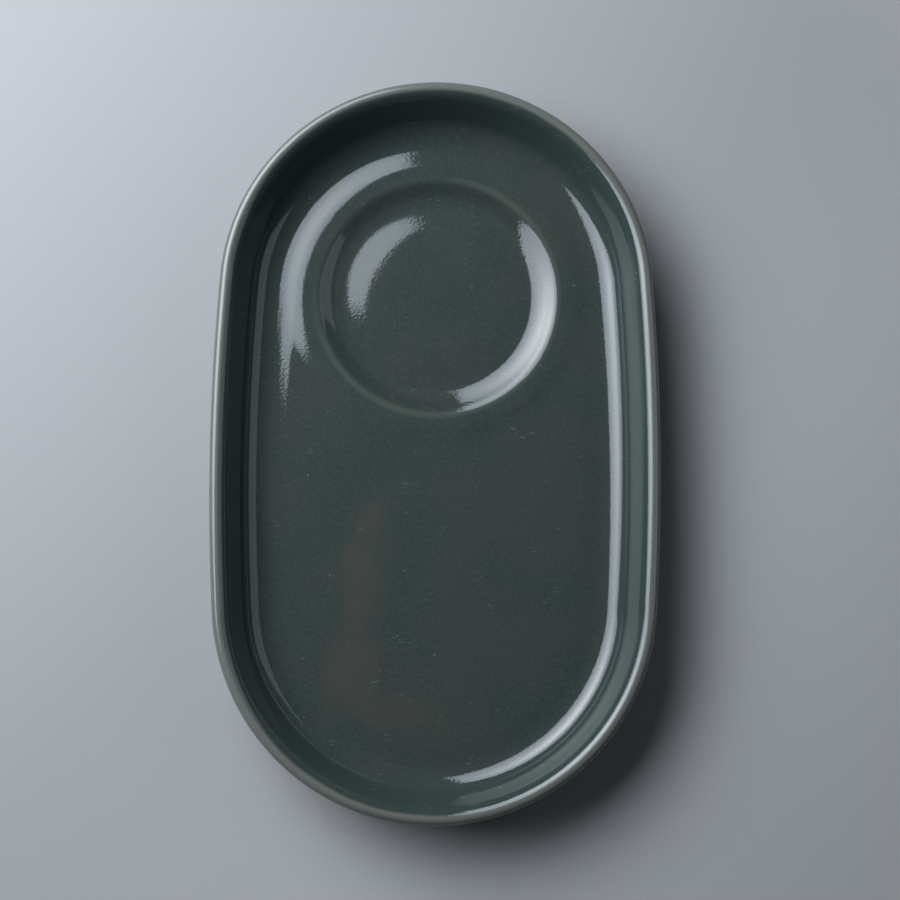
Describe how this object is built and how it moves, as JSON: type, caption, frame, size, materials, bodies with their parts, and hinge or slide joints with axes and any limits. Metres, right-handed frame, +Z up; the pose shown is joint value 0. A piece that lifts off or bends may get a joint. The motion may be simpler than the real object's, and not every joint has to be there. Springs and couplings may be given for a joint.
{
  "type": "oblong plate with cup well",
  "caption": "Oblong glazed stoneware plate with a raised rounded wall, a shallow round cup well at one end and a bare foot ring, for serving a cup with a snack.",
  "frame": {"origin": "under the middle of the plate, on the plane that the foot ring stands on", "axes": "+Z up out of the plate, +Y along the plate towards the end with the cup well, +X to the right seen from above"},
  "size_m": [0.15, 0.25, 0.025],
  "materials": {
    "stoneware": "bare fired clay, warm grey-buff, matte and finely grained",
    "green_glaze": "glossy deep grey-green glaze with faint brown clouding and pinholes",
    "broken_glaze": "thin glossy glaze broken to pale grey over the clay"
  },
  "bodies": {
    "root": {"stoneware_body": "stoneware", "interior_glaze": "green_glaze", "lip_glaze": "broken_glaze", "exterior_glaze": "green_glaze", "underside_glaze": "green_glaze"}
  },
  "joints": []
}
